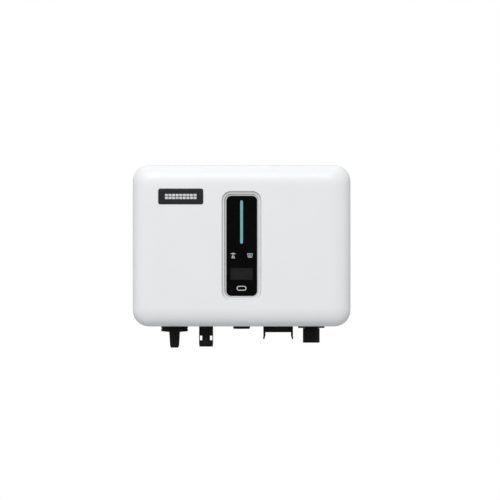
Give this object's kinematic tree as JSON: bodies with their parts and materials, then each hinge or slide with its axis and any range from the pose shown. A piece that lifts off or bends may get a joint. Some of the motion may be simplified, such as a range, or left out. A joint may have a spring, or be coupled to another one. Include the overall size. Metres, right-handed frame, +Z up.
{
  "type": "string inverter",
  "caption": "Small wall-hung photovoltaic inverter: white rolled-edge cover, black display panel, finned rear housing, and black connectors underneath.",
  "frame": {"origin": "on the wall, at the middle of the bracket's back face", "axes": "+X to the right of someone facing the unit, +Y into the wall, +Z up"},
  "size_m": [0.3056, 0.1267, 0.2563],
  "materials": {
    "cover_white": "satin white powder coat",
    "casting": "as cast, fine grain",
    "bezel_grey": "satin light grey",
    "lens_black": "gloss black",
    "screen_glass": "dark display glass",
    "light_teal": "translucent teal",
    "badge_dark": "satin charcoal",
    "black_plastic": "fine moulded texture",
    "rubber_seal": "matte",
    "zinc_steel": "zinc plated",
    "contact_brass": "turned",
    "circuit_board": "solder mask green",
    "capacitor_sleeve": "dark blue sleeve",
    "potting": "potted choke in a metal cup",
    "ferrite": "wound ring core",
    "relay_blue": "moulded case",
    "film_yellow": "moulded case",
    "thermal_pad": "soft pad",
    "red_wire": "wire sleeve",
    "black_wire": "wire sleeve",
    "ribbon_grey": "flat cable"
  },
  "bodies": {
    "bracket": {"wall_bracket": "zinc_steel"},
    "switch_knob": {"dc_switch_knob": "black_plastic", "dc_switch_shaft": "zinc_steel"},
    "latch_left": {"ac_latch_left": "black_plastic"},
    "latch_right": {"ac_latch_right": "black_plastic"},
    "port_cap": {"com_port_cap": "black_plastic"},
    "inverter": {"hanger_plate": "zinc_steel", "hanger_screw_left": "zinc_steel", "hanger_screw_right": "zinc_steel", "lock_screw_left": "zinc_steel", "lock_screw_right": "zinc_steel", "rear_housing": "casting", "cover_gasket": "rubber_seal", "cover_screw_1": "zinc_steel", "cover_screw_2": "zinc_steel", "cover_screw_3": "zinc_steel", "cover_screw_4": "zinc_steel", "earth_screw": "zinc_steel", "front_cover": "cover_white", "badge_plate": "badge_dark", "display_bezel": "bezel_grey", "display_lens": "lens_black", "light_bar": "light_teal", "display_module": "screen_glass", "display_pcb": "circuit_board", "display_ribbon": "ribbon_grey", "main_pcb": "circuit_board", "control_pcb": "circuit_board", "boost_inductor": "potting", "output_inductor": "potting", "dc_choke": "ferrite", "ac_choke": "ferrite", "aux_transformer": "ferrite", "film_capacitor": "film_yellow", "relay_1": "relay_blue", "relay_2": "relay_blue", "dc_link_capacitor_1": "capacitor_sleeve", "dc_link_capacitor_2": "capacitor_sleeve", "dc_link_capacitor_3": "capacitor_sleeve", "thermal_pad": "thermal_pad", "power_module": "black_plastic", "dc_switch_body": "black_plastic", "dc_switch_flange": "black_plastic", "dc_plus_receptacle": "black_plastic", "dc_plus_contact": "contact_brass", "dc_plus_nut": "black_plastic", "dc_wire_plus": "red_wire", "dc_minus_receptacle": "black_plastic", "dc_minus_contact": "contact_brass", "dc_minus_nut": "black_plastic", "dc_wire_minus": "black_wire", "vent_plug": "black_plastic", "ac_receptacle": "black_plastic", "ac_pin_line": "contact_brass", "ac_pin_neutral": "contact_brass", "ac_pin_earth": "contact_brass", "ac_harness": "black_wire", "com_port_flange": "black_plastic", "com_port_socket": "black_plastic"}
  },
  "joints": [
    {"name": "lift_off", "type": "slide", "parent": "bracket", "child": "inverter", "axis": [0, 0, 1], "range_m": [0, 0.02]},
    {"name": "dc_switch_turn", "type": "hinge", "parent": "inverter", "child": "switch_knob", "pos_m": [-0.0942, -0.062, -0.12], "axis": [0, 0, 1], "range_deg": [0, 90]},
    {"name": "latch_left_flex", "type": "hinge", "parent": "inverter", "child": "latch_left", "pos_m": [0.0335, -0.062, -0.115], "axis": [0, 1, 0], "range_deg": [0, 12], "stiffness_Nm_per_rad": 0.05},
    {"name": "latch_right_flex", "type": "hinge", "parent": "inverter", "child": "latch_right", "pos_m": [0.0693, -0.062, -0.115], "axis": [0, -1, 0], "range_deg": [0, 12], "stiffness_Nm_per_rad": 0.05},
    {"name": "cap_pull", "type": "slide", "parent": "inverter", "child": "port_cap", "axis": [0, 0, -1], "range_m": [0, 0.02]}
  ]
}
